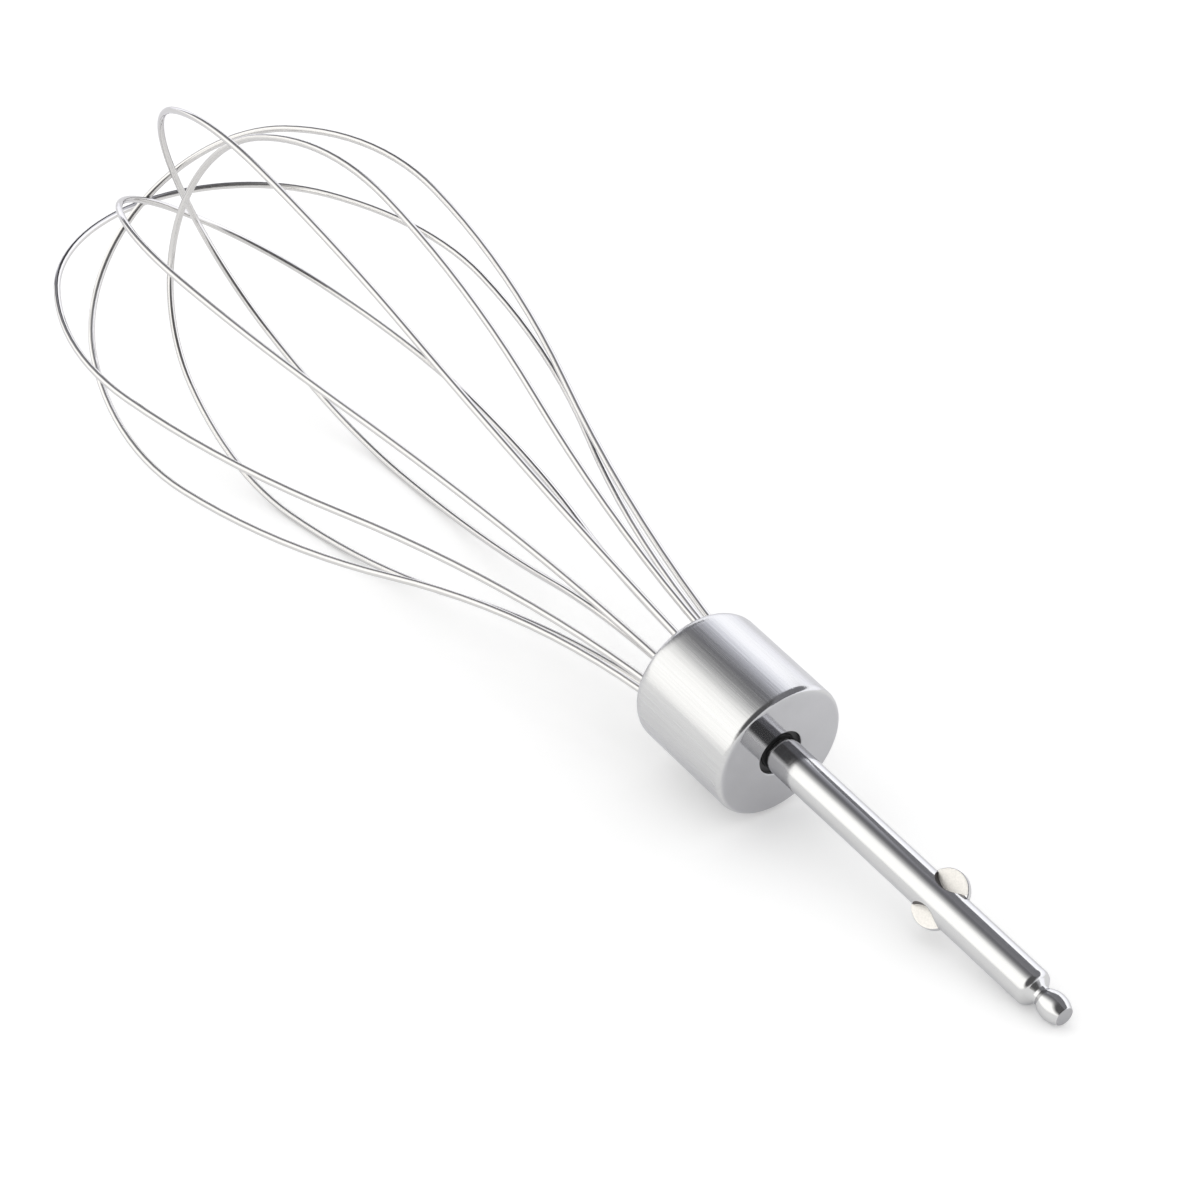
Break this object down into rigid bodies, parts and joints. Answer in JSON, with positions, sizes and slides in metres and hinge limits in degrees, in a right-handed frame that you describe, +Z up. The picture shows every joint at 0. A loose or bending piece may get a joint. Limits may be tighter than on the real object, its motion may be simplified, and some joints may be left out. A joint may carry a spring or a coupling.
{
  "type": "mixer whisk attachment",
  "caption": "Balloon whisk attachment for a hand mixer: steel wire loops in a drawn steel cap, with a winged drive shaft and snap groove.",
  "frame": {"origin": "on the table under the middle of the whisk as it lies", "axes": "+X along the lying whisk from the shaft's tip to the wires, +Y to its side, +Z up"},
  "size_m": [0.294, 0.0834, 0.0759],
  "materials": {
    "polished_steel": "polished",
    "satin_steel": "satin",
    "black_plastic": "matte",
    "spring_steel": "satin",
    "bright_wire": "polished"
  },
  "bodies": {
    "root": {"shaft": "polished_steel", "cap": "satin_steel", "wire_holder": "black_plastic", "retaining_clip": "spring_steel", "wire_loop_1": "bright_wire", "wire_loop_2": "bright_wire", "wire_loop_3": "bright_wire", "wire_loop_4": "bright_wire", "wire_loop_5": "bright_wire"}
  },
  "joints": []
}
